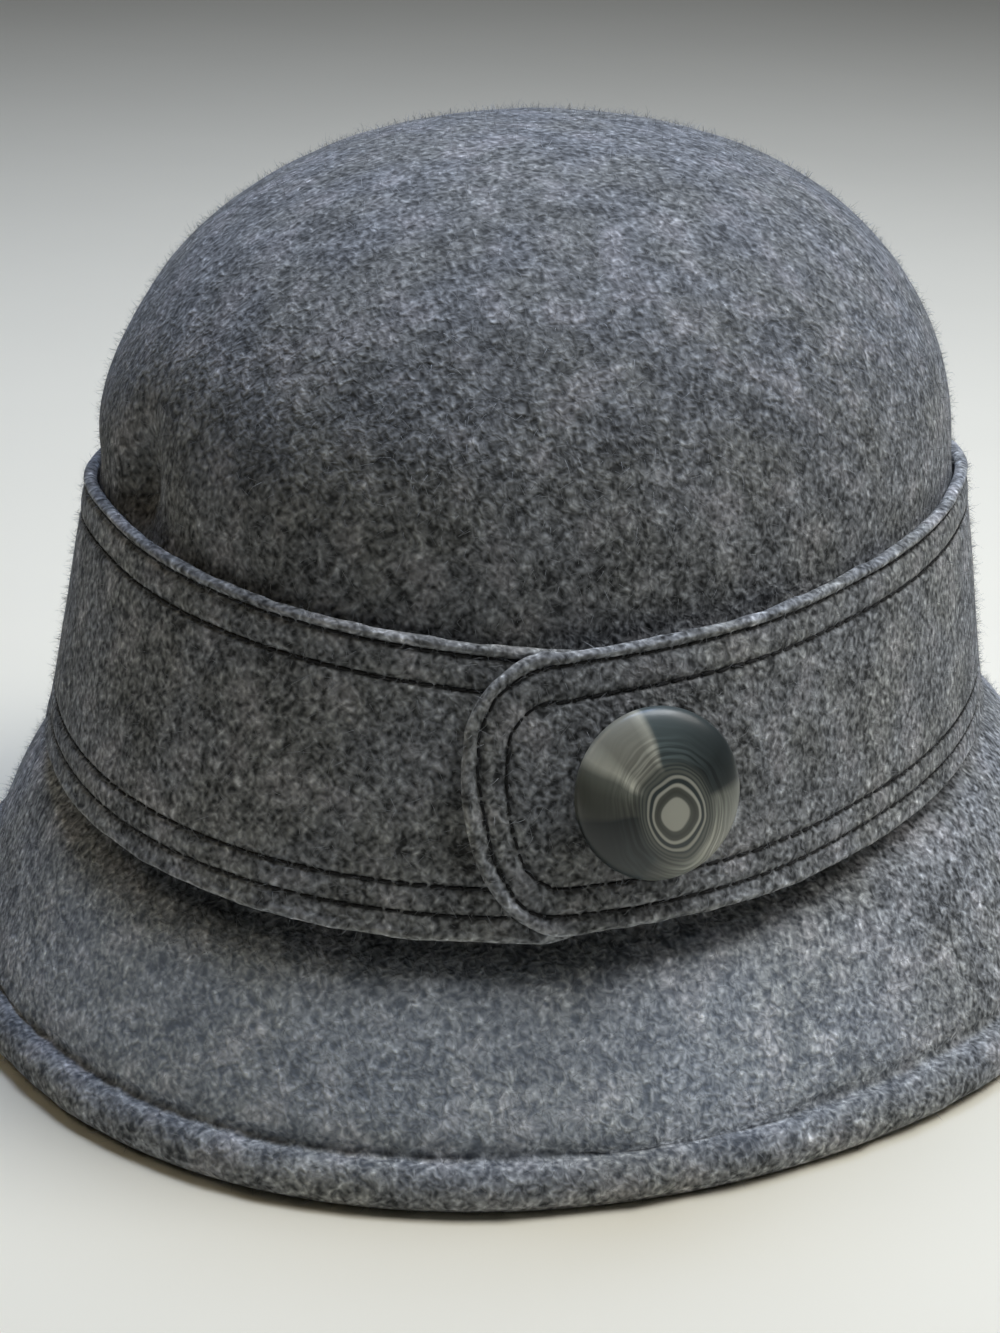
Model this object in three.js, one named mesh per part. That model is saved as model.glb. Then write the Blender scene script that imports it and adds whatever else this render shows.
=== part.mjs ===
// A felt cloche hat: crown, bell brim with a turned-under hem, lapped band and a domed button.
// Millimetres and degrees. The hat faces -Y, the wearer's left is +X and +Z is up.
// The origin lies on the surface that the hat stands on, under the middle of the brim.
import * as THREE from 'three';

// Felt
const feltWall = 2.2;
const clearance = 0.3;
const roundSides = 72;

// The whole hat
const totalHeight = 162.6;
const lapAzimuth = -62;

// The rings that the hat is lofted through. Each is an oval round the hat:
// wide is half its width across the head, long is half its length front to back,
// egg how much wider it is behind than in front, level where it is highest, dip how far it sinks
// to the lap, forward and aside how far its middle stands to the front and to the wearer's left.
const rings = {
  bandTop: { wide: 84.0, long: 94.0, egg: 0.02, level: 105.0, dip: 13.3, forward: 4.1, aside: 0 },
  bandFoot: { wide: 91.4, long: 109.3, egg: 0.02, level: 50.2, dip: 7.2, forward: 4.1, aside: -0.5 },
  hemCrease: { wide: 114.4, long: 127.3, egg: 0.09, level: 9.9, dip: 0, forward: 0, aside: 0 },
  brimEdge: { wide: 118.0, long: 129.6, egg: 0.09, level: 0, dip: 0, forward: 0, aside: 0 },
};

// Crown: the dome's section is a rounded superellipse, and its top leans back a little
const domePowerUp = 2.14;
const domePowerOut = 2.2;
const apexBack = 3.0;
const crownUnderBand = feltWall + 0.45;
const lapStandOff = 1.2;
const crownSeamRise = 0.16;
const crownSideRows = 4;
const domeRows = 12;
const domeRowSpread = 1.25;

// Soft dents in the crown, and swellings where the depth is negative:
// azimuth and height of the middle, half-widths round and up, depth
const crownDents = [
  { azimuth: -125.5, height: 104, round: 7.5, up: 12, depth: 2.4 },
  { azimuth: -152, height: 109, round: 15, up: 13, depth: -1.4 },
];
const swellingStart = 0.08;

// Brim
const brimShoulder = 0.7;
const brimFlareRows = 7;
const standRise = 0.2;
const standWall = 2.0;

// Hem: a row for each corner of its section. along runs from the crease (0) to the floor (1),
// out is the distance outward from the straight line between the two.
const hemOuterSection = [
  { along: 0.0, out: -0.9 },
  { along: 0.1, out: 0.5 },
  { along: 0.3, out: 1.5 },
  { along: 0.58, out: 1.8 },
  { along: 0.84, out: 1.2 },
  { along: 1.0, out: -0.3 },
];
const hemInnerSection = [
  { along: 1.0, out: -2.7 },
  { along: 0.84, out: -3.9 },
  { along: 0.4, out: -4.5 },
  { along: 0.08, out: -4.3 },
];

// Band: one strip, measured along its middle line from the tip of the tab
const bandHeight = 50;
const tabTipAzimuth = -72.7;
const bandLayerLift = feltWall + clearance;
const bandLapLength = 45;
const bandSettleFrom = 49;
const bandSettleOver = 36;
const bandEdgeChamfer = 0.5;
const bandStationLength = 8.2;
const bandRises = [0, 0.34, 0.67, 1];
const tabStations = 11;
const tabFirstStation = 0.2;
const tabTopCorner = { along: 14, up: 16, power: 1.7 };
const tabFootCorner = { along: 20, up: 32, power: 2.0 };
const tabFootLift = 1.4;
const tabFootLiftEnd = 90;
const tuckedNarrowing = 1.5;
const tuckedFrom = 17;
const tuckedOver = 8;

// Button
const buttonRadius = 15;
const buttonFromTabTip = 32.6;
const buttonRise = 0.49;
const buttonSides = 32;
const buttonArcRows = 8;
const buttonRimHeight = 1.6;
const buttonDomeHeight = 4.2;
const buttonEdgeRound = 0.6;
const shankRadius = 3.5;
const shankHeight = 2.2;

// Colours and finish
const feltColour = 0x6c7076;
const bandColour = 0x676a6e;
const buttonColour = 0x4d5250;
const feltRoughness = 0.95;
const buttonRoughness = 0.15;

const radians = THREE.MathUtils.degToRad;
const lerp = THREE.MathUtils.lerp;

// How much of a ring's dip is felt at an azimuth: none opposite the lap, all of it at the lap
function dipShare(azimuth) {
  const away = THREE.MathUtils.euclideanModulo(azimuth - lapAzimuth + 180, 360) - 180;
  return (1 - Math.abs(away) / 180) ** 2;
}

function ringPoint(ring, azimuth) {
  const cosine = Math.cos(radians(azimuth));
  const sine = Math.sin(radians(azimuth));
  return new THREE.Vector3(
    ring.wide * cosine * (1 + ring.egg * sine) + ring.aside,
    ring.long * sine - ring.forward,
    ring.level - ring.dip * dipShare(azimuth),
  );
}

// The outward normal of a face that is given as a function of azimuth and of a height measure
function faceNormal(face, azimuth, measure) {
  const turn = 0.1;
  const step = 0.01;
  const round = face(azimuth + turn, measure).sub(face(azimuth - turn, measure));
  const rise = face(azimuth, measure + step).sub(face(azimuth, measure - step));
  return round.cross(rise).normalize();
}

function inset(face, azimuth, measure, depth) {
  return face(azimuth, measure).addScaledVector(faceNormal(face, azimuth, measure), -depth);
}

// The band's outer face: rise is 0 at its foot and 1 at its top
function bandFace(azimuth, rise) {
  return ringPoint(rings.bandFoot, azimuth).lerp(ringPoint(rings.bandTop, azimuth), rise);
}

// The crown's side, which the band covers. The band's foot stands off most at the lap.
function crownSide(azimuth, rise) {
  const standOff = lapStandOff * dipShare(azimuth) * (1 - rise);
  return inset(bandFace, azimuth, rise, crownUnderBand + standOff);
}

// How deep the crown is dented at a place. A swelling starts from nothing at the band's top.
function dentDepth(azimuth, height, share) {
  const free = THREE.MathUtils.smoothstep(share, 0, swellingStart);
  let depth = 0;
  for (const dent of crownDents) {
    const round = (THREE.MathUtils.euclideanModulo(azimuth - dent.azimuth + 180, 360) - 180) / dent.round;
    const up = (height - dent.height) / dent.up;
    depth += dent.depth * Math.exp(-round * round - up * up) * (dent.depth < 0 ? free : 1);
  }
  return depth;
}

// The dome above the band: rise is 0 at the band's top and 1 at the apex
function domeFace(azimuth, rise) {
  const foot = crownSide(azimuth, 1);
  const share = THREE.MathUtils.clamp(rise, 0, 1);
  const reach = (1 - share ** domePowerUp) ** (1 / domePowerOut);
  const height = lerp(foot.z, totalHeight, share);
  const dented = 1 - dentDepth(azimuth, height, share) / Math.hypot(foot.x, foot.y);
  return new THREE.Vector3(
    foot.x * reach * dented,
    (foot.y + rings.bandTop.forward) * reach * dented - rings.bandTop.forward + apexBack * share * share,
    height,
  );
}

// The brim below the band: drop is 0 at the band's foot and 1 at the hem's crease
function brimFace(azimuth, drop) {
  const head = crownSide(azimuth, 0);
  const crease = ringPoint(rings.hemCrease, azimuth);
  const reach = drop + brimShoulder * drop * (1 - drop) ** 2;
  return new THREE.Vector3(
    lerp(head.x, crease.x, reach),
    lerp(head.y, crease.y, reach),
    lerp(head.z, crease.z, drop),
  );
}

function brimFaceUpward(azimuth, rise) {
  return brimFace(azimuth, 1 - rise);
}

function hemLine(azimuth, rise) {
  return ringPoint(rings.brimEdge, azimuth).lerp(ringPoint(rings.hemCrease, azimuth), rise);
}

function hemPoint(azimuth, corner) {
  const point = inset(hemLine, azimuth, 1 - corner.along, -corner.out);
  if (corner.along === 1) {
    point.z = 0;
  }
  return point;
}

// One row of points round the hat, from a function of azimuth
function ringRow(pointAt) {
  const row = [];
  for (let side = 0; side < roundSides; side += 1) {
    row.push(pointAt(-90 + (side + 0.5) * (360 / roundSides)));
  }
  return row;
}

// A closed body skinned over rows of points. Each row closes on itself.
// With tips the two ends are closed to a point each, and without them the last row joins the first.
function skin(rows, tips) {
  const columns = rows[0].length;
  const points = rows.flat();
  const faces = [];
  const lastRow = tips ? rows.length - 1 : rows.length;
  for (let row = 0; row < lastRow; row += 1) {
    const here = row * columns;
    const next = ((row + 1) % rows.length) * columns;
    for (let column = 0; column < columns; column += 1) {
      const beside = (column + 1) % columns;
      faces.push(here + column, here + beside, next + beside);
      faces.push(here + column, next + beside, next + column);
    }
  }
  if (tips) {
    const first = points.push(tips[0]) - 1;
    const last = points.push(tips[1]) - 1;
    const end = (rows.length - 1) * columns;
    for (let column = 0; column < columns; column += 1) {
      const beside = (column + 1) % columns;
      faces.push(first, beside, column);
      faces.push(last, end + column, end + beside);
    }
  }
  return faceOutward(points, faces);
}

// A geometry whose faces point out, whichever way its rows were given
function faceOutward(points, faces) {
  let volume = 0;
  for (let face = 0; face < faces.length; face += 3) {
    const [a, b, c] = [points[faces[face]], points[faces[face + 1]], points[faces[face + 2]]];
    volume += a.dot(new THREE.Vector3().crossVectors(b, c)) / 6;
  }
  const geometry = new THREE.BufferGeometry().setFromPoints(points);
  geometry.setIndex(volume < 0 ? faces.reverse() : faces);
  geometry.computeVertexNormals();
  return geometry;
}

function middleOf(points) {
  const sum = new THREE.Vector3();
  for (const point of points) {
    sum.add(point);
  }
  return sum.divideScalar(points.length);
}

function crownGeometry() {
  const outer = [];
  const inner = [];
  for (let row = 0; row < crownSideRows; row += 1) {
    const rise = lerp(crownSeamRise, 1, row / crownSideRows);
    outer.push(ringRow((azimuth) => crownSide(azimuth, rise)));
    inner.push(ringRow((azimuth) => inset(crownSide, azimuth, rise, feltWall)));
  }
  for (let row = 0; row < domeRows; row += 1) {
    const rise = Math.sin((row / domeRows) * (Math.PI / 2)) ** domeRowSpread;
    outer.push(ringRow((azimuth) => domeFace(azimuth, rise)));
    inner.push(ringRow((azimuth) => inset(domeFace, azimuth, rise, feltWall)));
  }
  const apex = new THREE.Vector3(0, apexBack - rings.bandTop.forward, totalHeight);
  const innerApex = apex.clone().setZ(totalHeight - feltWall);
  return skin([...outer.reverse(), ...inner], [apex, innerApex]);
}

function brimGeometry() {
  const seam = crownSeamRise - clearance / bandHeight;
  const standTop = crownSeamRise + standRise;
  const standOuter = feltWall + clearance;
  const standInner = standOuter + standWall;
  const rows = [];
  rows.push(ringRow((azimuth) => inset(crownSide, azimuth, seam, standOuter)));
  rows.push(ringRow((azimuth) => crownSide(azimuth, seam)));
  for (let row = 0; row < brimFlareRows; row += 1) {
    rows.push(ringRow((azimuth) => brimFace(azimuth, row / brimFlareRows)));
  }
  for (const corner of [...hemOuterSection, ...hemInnerSection]) {
    rows.push(ringRow((azimuth) => hemPoint(azimuth, corner)));
  }
  for (let row = brimFlareRows; row > 0; row -= 1) {
    const drop = row / brimFlareRows;
    rows.push(ringRow((azimuth) => inset(brimFaceUpward, azimuth, 1 - drop, feltWall)));
  }
  rows.push(ringRow((azimuth) => inset(crownSide, azimuth, 0, standInner)));
  rows.push(ringRow((azimuth) => inset(crownSide, azimuth, standTop, standInner)));
  rows.push(ringRow((azimuth) => inset(crownSide, azimuth, standTop, standOuter)));
  return skin(rows);
}

// The azimuth that lies a given length along the band's middle line from the tip of the tab
function bandMeasure() {
  const stepsPerTurn = 720;
  const step = 360 / stepsPerTurn;
  const lengths = [0];
  let previous = bandFace(tabTipAzimuth, 0.5);
  for (let count = 1; count <= stepsPerTurn * 1.25; count += 1) {
    const point = bandFace(tabTipAzimuth + count * step, 0.5);
    lengths.push(lengths[count - 1] + point.distanceTo(previous));
    previous = point;
  }
  const azimuthAt = (length) => {
    const after = lengths.findIndex((value) => value > length);
    const share = (length - lengths[after - 1]) / (lengths[after] - lengths[after - 1]);
    return tabTipAzimuth + (after - 1 + share) * step;
  };
  return { azimuthAt, fullTurn: lengths[stepsPerTurn] };
}

const bandLine = bandMeasure();
const bandLength = bandLine.fullTurn + bandLapLength;

// How far a rounded corner cuts into the strip's height, at a length from the tip
function cornerCut(corner, length) {
  if (length >= corner.along) {
    return 0;
  }
  const share = 1 - length / corner.along;
  return corner.up * (1 - (1 - share ** corner.power) ** (1 / corner.power));
}

// How far the strip stands off its lower layer, at a length from the tip
function bandLift(length) {
  const settled = THREE.MathUtils.smoothstep(length, bandSettleFrom, bandSettleFrom + bandSettleOver);
  return bandLayerLift * (1 - settled);
}

// One closed section across the strip
function bandSection(length) {
  const azimuth = bandLine.azimuthAt(length);
  const height = bandFace(azimuth, 1).distanceTo(bandFace(azimuth, 0));
  const tucked = THREE.MathUtils.smoothstep(length - bandLine.fullTurn - tuckedFrom, 0, tuckedOver);
  const tabShare = 1 - THREE.MathUtils.smoothstep(length, tabFootCorner.along, tabFootLiftEnd);
  const lowCut = cornerCut(tabFootCorner, length) + tabFootLift * tabShare;
  const low = (lowCut + tuckedNarrowing * tucked) / height;
  const high = 1 - (cornerCut(tabTopCorner, length) + tuckedNarrowing * tucked) / height;
  const chamfer = bandEdgeChamfer / height;
  const lift = bandLift(length);
  const at = (rise, depth) => inset(bandFace, azimuth, rise, depth - lift);
  const section = [];
  for (const share of bandRises) {
    section.push(at(lerp(low + chamfer, high - chamfer, share), 0));
  }
  section.push(at(high, bandEdgeChamfer));
  section.push(at(high, feltWall - bandEdgeChamfer));
  for (const share of bandRises.slice().reverse()) {
    section.push(at(lerp(low + chamfer, high - chamfer, share), feltWall));
  }
  section.push(at(low, feltWall - bandEdgeChamfer));
  section.push(at(low, bandEdgeChamfer));
  return section;
}

function bandGeometry() {
  const lengths = [tabFirstStation];
  for (let station = 2; station <= tabStations; station += 1) {
    lengths.push(tabFootCorner.along * (1 - Math.cos((station / tabStations) * (Math.PI / 2))));
  }
  const straight = bandLength - tabFootCorner.along;
  const count = Math.ceil(straight / bandStationLength);
  for (let station = 1; station <= count; station += 1) {
    lengths.push(tabFootCorner.along + (straight * station) / count);
  }
  const sections = lengths.map(bandSection);
  return skin(sections, [middleOf(sections[0]), middleOf(sections[sections.length - 1])]);
}

// The button's section, from the foot of its shank up to the top of its dome.
// The dome is an arc that ends in a small rounded edge above a flat back.
function buttonProfile() {
  const back = shankHeight;
  const profile = [new THREE.Vector2(0, 0), new THREE.Vector2(shankRadius, 0)];
  profile.push(new THREE.Vector2(shankRadius, back));
  profile.push(new THREE.Vector2(buttonRadius - buttonEdgeRound * 2, back));
  profile.push(new THREE.Vector2(buttonRadius - buttonEdgeRound / 2, back + buttonEdgeRound / 2));
  profile.push(new THREE.Vector2(buttonRadius, back + buttonEdgeRound * 1.5));
  const rim = back + buttonRimHeight;
  for (let row = 0; row < buttonArcRows; row += 1) {
    const turn = (row / buttonArcRows) * (Math.PI / 2);
    profile.push(new THREE.Vector2(buttonRadius * Math.cos(turn), rim + buttonDomeHeight * Math.sin(turn)));
  }
  profile.push(new THREE.Vector2(0, rim + buttonDomeHeight));
  return profile;
}

// The button as placed: its shank stands on the tab, along the tab's outward normal
function placeButton(mesh) {
  const azimuth = bandLine.azimuthAt(buttonFromTabTip);
  const normal = faceNormal(bandFace, azimuth, buttonRise);
  const seat = bandFace(azimuth, buttonRise).addScaledVector(normal, bandLayerLift + clearance);
  mesh.quaternion.setFromUnitVectors(new THREE.Vector3(0, 1, 0), normal);
  mesh.position.copy(seat);
}

function namedMesh(name, geometry, colour, roughness) {
  const material = new THREE.MeshStandardMaterial({ color: colour, roughness, metalness: 0 });
  const mesh = new THREE.Mesh(geometry, material);
  mesh.name = name;
  return mesh;
}

const buttonGeometry = new THREE.LatheGeometry(buttonProfile(), buttonSides);
const button = namedMesh('button', buttonGeometry, buttonColour, buttonRoughness);
placeButton(button);

const hat = new THREE.Group();
hat.add(namedMesh('crown', crownGeometry(), feltColour, feltRoughness));
hat.add(namedMesh('brim', brimGeometry(), feltColour, feltRoughness));
hat.add(namedMesh('band', bandGeometry(), bandColour, feltRoughness));
hat.add(button);

export default hat;
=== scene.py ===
"""The felt cloche hat, dressed: wool felt with its nap, topstitching and a marbled button.

Sizes are in metres and angles in degrees unless a name says otherwise. The hat faces -Y, the
wearer's left is +X and +Z is up. It stands on the floor at Z = 0.
"""

import math

import bmesh
import bpy
import numpy as np
from bpy.props import FloatProperty, FloatVectorProperty, IntProperty, PointerProperty
from mathutils import Matrix, Vector, noise


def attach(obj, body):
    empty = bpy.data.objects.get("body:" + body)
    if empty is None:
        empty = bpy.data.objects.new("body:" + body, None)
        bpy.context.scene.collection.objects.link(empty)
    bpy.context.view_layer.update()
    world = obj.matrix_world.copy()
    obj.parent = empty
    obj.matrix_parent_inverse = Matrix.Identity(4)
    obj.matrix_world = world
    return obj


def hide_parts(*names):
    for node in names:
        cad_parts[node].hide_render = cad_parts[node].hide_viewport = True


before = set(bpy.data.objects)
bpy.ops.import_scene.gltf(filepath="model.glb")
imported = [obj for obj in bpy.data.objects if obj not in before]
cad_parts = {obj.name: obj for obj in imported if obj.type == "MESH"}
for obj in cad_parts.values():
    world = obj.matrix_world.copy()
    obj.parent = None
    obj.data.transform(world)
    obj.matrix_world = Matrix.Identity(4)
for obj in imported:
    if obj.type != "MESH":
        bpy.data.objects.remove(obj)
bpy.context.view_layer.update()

bl_info = {
    "name": "Cloche hat",
    "version": (1, 0, 0),
    "blender": (4, 5, 0),
    "location": "3D View > Sidebar > Cloche Hat",
    "description": "Dresses a cloche hat in melange wool felt, with topstitching and a button",
    "category": "Add Mesh",
}

MM = 0.001

# Sizes that the CAD has too
LAP_AZIMUTH = -62.0
FELT_WALL = 2.2 * MM
CLEARANCE = 0.3 * MM

# Half the width, half the length, how egg-shaped, height, dip to the lap, and how far the
# ring's middle stands to the front and to the wearer's left
BAND_TOP = (84.0 * MM, 94.0 * MM, 0.02, 105.0 * MM, 13.3 * MM, 4.1 * MM, 0.0)
BAND_FOOT = (91.4 * MM, 109.3 * MM, 0.02, 50.2 * MM, 7.2 * MM, 4.1 * MM, -0.5 * MM)
HEM_CREASE = (114.4 * MM, 127.3 * MM, 0.09, 9.9 * MM, 0.0, 0.0, 0.0)

# The band's strip. Its lap lies on its first layer, then settles down to the crown
TAB_TIP_AZIMUTH = -72.7
BAND_LIFT = FELT_WALL + CLEARANCE
BAND_LAP = 45.0 * MM
SETTLE_FROM, SETTLE_OVER = 49.0 * MM, 36.0 * MM

# A corner's reach along the strip and across it, and the power of its curve
TAB_TOP_CORNER = (14.0 * MM, 16.0 * MM, 1.7)
TAB_FOOT_CORNER = (20.0 * MM, 32.0 * MM, 2.0)
TAB_FOOT_LIFT, TAB_FOOT_LIFT_END = 1.4 * MM, 90.0 * MM
TUCK_NARROWS, TUCK_FROM, TUCK_OVER = 1.5 * MM, 17.0 * MM, 8.0 * MM

# The strip's lower top edge at the back, and the angles from the lap where it comes down
BACK_DROP, DROP_FROM, DROP_TO = 7.5 * MM, 67.0, 110.0

BUTTON_FROM_TIP = 32.6 * MM
BUTTON_RISE = 0.49
SHANK_HEIGHT, SHANK_RADIUS = 2.2 * MM, 3.5 * MM

# The two rows of topstitching round the tab's end: length from the tip and distance from the
# top, in millimetres
EDGE_ROW_END = [
    (26.6, 2.1), (17.5, 2.1), (11.0, 3.7), (6.3, 7.2), (4.3, 10.0), (2.8, 15.2), (2.9, 19.3),
    (3.2, 23.4), (5.2, 30.7), (7.2, 36.7), (10.7, 42.4), (14.0, 44.9), (20.3, 45.7),
]
INNER_ROW_END = [
    (27.0, 8.1), (17.9, 8.4), (12.3, 9.4), (8.4, 13.7), (7.8, 18.1), (8.2, 25.4), (9.9, 32.0),
    (11.8, 36.8), (15.1, 39.6), (19.3, 40.9),
]

# Each row's end, and its distances from the strip's top line and foot line
STITCH_ROWS = {
    "edge_row_stitches": (EDGE_ROW_END, 2.2 * MM, 4.65 * MM),
    "inner_row_stitches": (INNER_ROW_END, 8.1 * MM, 9.45 * MM),
}
ROW_TURNS_AT, ROW_STEP = 0.030, 0.0015

# The strip's grid across, in millimetres: from, to and how many rows of faces
STRIP_HEIGHT = 50.4
STRIP_ROWS = [
    (0.0, 3.4, 11), (3.4, 6.6, 4), (6.6, 9.8, 7), (9.8, 39.8, 22), (39.8, 43.4, 7),
    (43.4, 44.6, 2), (44.6, STRIP_HEIGHT, 16),
]

# The grid's columns, which lie close together near the tab: its round end, how far they stay
# close, and their step there
TAB_END, CLOSE_FROM, CLOSE_TO, CLOSE_STEP = 0.020, 0.021, 0.060, 0.0011

# The strip's edges: how far in they are rounded, and a puffed rim and a flatter swell inside
# it, each by its height, place and spread
EDGE_ROUND = 1.05 * MM
EDGE_SWELLS = ((0.42 * MM, 1.1 * MM, 0.9 * MM), (0.12 * MM, 5.2 * MM, 1.9 * MM))
# Spreads of the stitch groove's depth, of the painted shade beside the thread, and of the painted
# highlight along the cut edges
GROOVE_SPREAD, GROOVE_SHADE_SPREAD, RIM_HIGHLIGHT_SPREAD = 0.62 * MM, 0.42 * MM, 1.5 * MM

# The levels between which the felt comes clear of the band, and a point inside the crown
CROWN_BARE, BRIM_BARE = (0.098, 0.112), (0.055, 0.046)
CROWN_INSIDE = (0, -0.004, 0.07)

# The crown's dent: azimuth and level of its middle, and its spread each way
DENT_AZIMUTH, DENT_TURN, DENT_LEVEL, DENT_RISE = -124.0, 4.0, 0.106, 0.011

# The hem's crease and roll, measured down from the crease
CREASE_DEPTH, ROLL_OUT, ROLL_TOP, ROLL_HEIGHT = 1.5 * MM, 0.9 * MM, 0.6 * MM, 8.4 * MM
PUCKER_PITCH, HEM_RADIUS = 3.4 * MM, 0.12

# The brim under the band's foot: drawn in all round, more at the front, and its front face
BRIM_FRONT_AZIMUTH = -69.0
DRAWN_ALL, DRAWN_FRONT, DRAWN_SPREAD = 1.2 * MM, 3.2 * MM, 3.6 * MM
FACE_DRAWN, FACE_FROM, FACE_FADE = 2.2 * MM, 14 * MM, 4 * MM

# The photograph's view: degrees to the wearer's left, above the floor and of roll, the point
# that the camera looks at and its distance, and its lens as a share of the picture's height
VIEW_TURN, VIEW_TILT, VIEW_ROLL = 21.16, 21.44, 1.27
VIEW_FOCUS, VIEW_DISTANCE = (-4.444 * MM, -5.8 * MM, 52.758 * MM), 613.53 * MM
VIEW_LENS, VIEW_SENSOR = 3029.6 / 1333, 36.0

# The lights: where each stands and its colour. All of them look at one point
LIGHTS_AIM = (0, 0, 0.08)
LIGHTS = (
    ("overhead", (-0.113, 0.292, 0.964), (0.57, 0.70, 1.0)),
    ("right", (0.355, 0.137, 0.935), (0.905, 0.953, 1.0)),
    ("low_right", (0.62, 0.24, 0.792), (1.0, 0.95, 0.91)),
    ("left", (-0.62, -0.24, 0.792), (1.0, 0.86, 0.62)),
)


def smoothstep(value, start, end):
    share = np.clip((value - start) / (end - start), 0.0, 1.0)
    return share * share * (3 - 2 * share)


def bell(value, spread):
    """1 where the value is 0, falling off to both sides."""
    return np.exp(-((value / spread) ** 2))


def from_lap(azimuth):
    """The angle from the lap, 0 to 180."""
    return np.abs((azimuth - LAP_AZIMUTH + 180) % 360 - 180)


def azimuth_of(points):
    return np.degrees(np.arctan2(points[:, 1], points[:, 0]))


def radius_of(points):
    return np.hypot(points[:, 0], points[:, 1])


def run_along(line):
    """The length from a line's start to each of its points."""
    return np.concatenate([[0.0], np.cumsum(np.linalg.norm(np.diff(line, axis=0), axis=1))])


def unit(vectors):
    """The vectors, each at length 1."""
    return vectors / np.linalg.norm(vectors, axis=-1, keepdims=True)


def ring_point(ring, azimuth):
    wide, long, egg, level, dip, forward, aside = ring
    cosine, sine = np.cos(np.radians(azimuth)), np.sin(np.radians(azimuth))
    across = wide * cosine * (1 + egg * sine) + aside
    height = level - dip * (1 - from_lap(azimuth) / 180) ** 2
    return np.stack([across, long * sine - forward, height], -1)


def band_face(azimuth, rise):
    """The band's outer face: rise is 0 at its foot and 1 at its top."""
    foot, top = ring_point(BAND_FOOT, azimuth), ring_point(BAND_TOP, azimuth)
    return foot + (top - foot) * np.asarray(rise)[..., None]


def band_normal(azimuth, rise):
    turn = band_face(azimuth + 0.1, rise) - band_face(azimuth - 0.1, rise)
    up = band_face(azimuth, rise + 0.01) - band_face(azimuth, rise - 0.01)
    return unit(np.cross(turn, up))


class BandLine:
    """Length along the band's middle line, from the tip of the tab, against azimuth."""

    turns = np.arange(0, 461, 0.5)
    points = band_face(TAB_TIP_AZIMUTH + turns, np.full(turns.shape, 0.5))
    lengths = run_along(points)
    full_turn = float(np.interp(360, turns, lengths))
    whole = full_turn + BAND_LAP

    @classmethod
    def azimuth(cls, length):
        return TAB_TIP_AZIMUTH + np.interp(length, cls.lengths, cls.turns)


def band_height(length):
    azimuth = BandLine.azimuth(length)
    one = np.ones_like(azimuth)
    return np.linalg.norm(band_face(azimuth, one) - band_face(azimuth, 0 * one), axis=-1)


def corner_cut(corner, length):
    along, up, power = corner
    share = np.clip(1 - length / along, 0, 1)
    return up * (1 - (1 - share**power) ** (1 / power))


def back_drop(length):
    """How far the strip's top edge comes down round the sides and the back."""
    return BACK_DROP * smoothstep(from_lap(BandLine.azimuth(length)), DROP_FROM, DROP_TO)


def band_edges(length):
    """Where the strip's top and foot lie, as distances down from its top line."""
    tucked = smoothstep(length - BandLine.full_turn - TUCK_FROM, 0, TUCK_OVER)
    lifted = 1 - smoothstep(length, TAB_FOOT_CORNER[0], TAB_FOOT_LIFT_END)
    top = corner_cut(TAB_TOP_CORNER, length) + TUCK_NARROWS * tucked + back_drop(length)
    foot = corner_cut(TAB_FOOT_CORNER, length) + TAB_FOOT_LIFT * lifted + TUCK_NARROWS * tucked
    return top, band_height(length) - foot


def band_place(length, down, out):
    """Points on the band: length from the tab's tip, distance down from the top line, and out
    from the strip's outer face."""
    azimuth = BandLine.azimuth(length)
    rise = 1 - down / band_height(length)
    lift = BAND_LIFT * (1 - smoothstep(length, SETTLE_FROM, SETTLE_FROM + SETTLE_OVER))
    return band_face(azimuth, rise) + band_normal(azimuth, rise) * (lift + out)[..., None]


def rounded_line(points, steps=12):
    """A smooth line through the points (Catmull-Rom)."""
    points = np.array([points[0], *points, points[-1]], float)
    made = []
    for index in range(1, len(points) - 2):
        a, b, c, d = points[index - 1 : index + 3]
        for share in np.arange(steps) / steps:
            bend = (2 * a - 5 * b + 4 * c - d) * share**2 + (3 * b - a - 3 * c + d) * share**3
            made.append(0.5 * (2 * b + (c - a) * share + bend))
    return np.array([*made, points[-2]])


def stitch_row(end, top, foot):
    """A row of topstitching in the flat: along the top edge, round the tab's end, and back
    along the foot, as (length, down) points."""
    far = np.arange(BandLine.whole - 3 * MM, ROW_TURNS_AT, -ROW_STEP)
    near = far[::-1]
    turn = rounded_line(
        [(far[-1], top), *(np.array(end) * MM), (near[0] + MM, band_height(near[0]) - foot)]
    )
    upper = np.stack([far[:-1], top + back_drop(far[:-1])], -1)
    lower = np.stack([near[1:], band_height(near[1:]) - foot], -1)
    return np.concatenate([upper, turn[1:-1], lower])


def distance_to_line(points, line):
    """The distance from each flat point to a line, and how far along the line that is."""
    run = run_along(line)
    start, step = line[:-1], np.diff(line, axis=0)
    square = (step**2).sum(1)
    best = np.full(len(points), np.inf)
    along = np.zeros(len(points))
    for chunk in range(0, len(points), 4000):
        here = points[chunk : chunk + 4000, None, :] - start[None]
        share = np.clip((here * step).sum(-1) / square, 0, 1)
        away = np.linalg.norm(here - share[..., None] * step, axis=-1)
        nearest = away.argmin(1)
        row = np.arange(len(nearest))
        best[chunk : chunk + 4000] = away[row, nearest]
        along[chunk : chunk + 4000] = run[nearest] + share[row, nearest] * np.sqrt(square)[nearest]
    return best, along


# Meshes


def only(piece):
    """Leaves just this piece selected and active."""
    bpy.ops.object.select_all(action="DESELECT")
    piece.select_set(True)
    bpy.context.view_layer.objects.active = piece
    return piece


def edit_all():
    """Into edit mode, with everything in the piece selected."""
    bpy.ops.object.mode_set(mode="EDIT")
    bpy.ops.mesh.select_all(action="SELECT")


def new_primitive(name, add, **settings):
    """A primitive that one of Blender's own operators adds, with nothing else selected."""
    add(**settings)
    piece = bpy.context.object
    piece.name = piece.data.name = name
    return only(piece)


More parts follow.
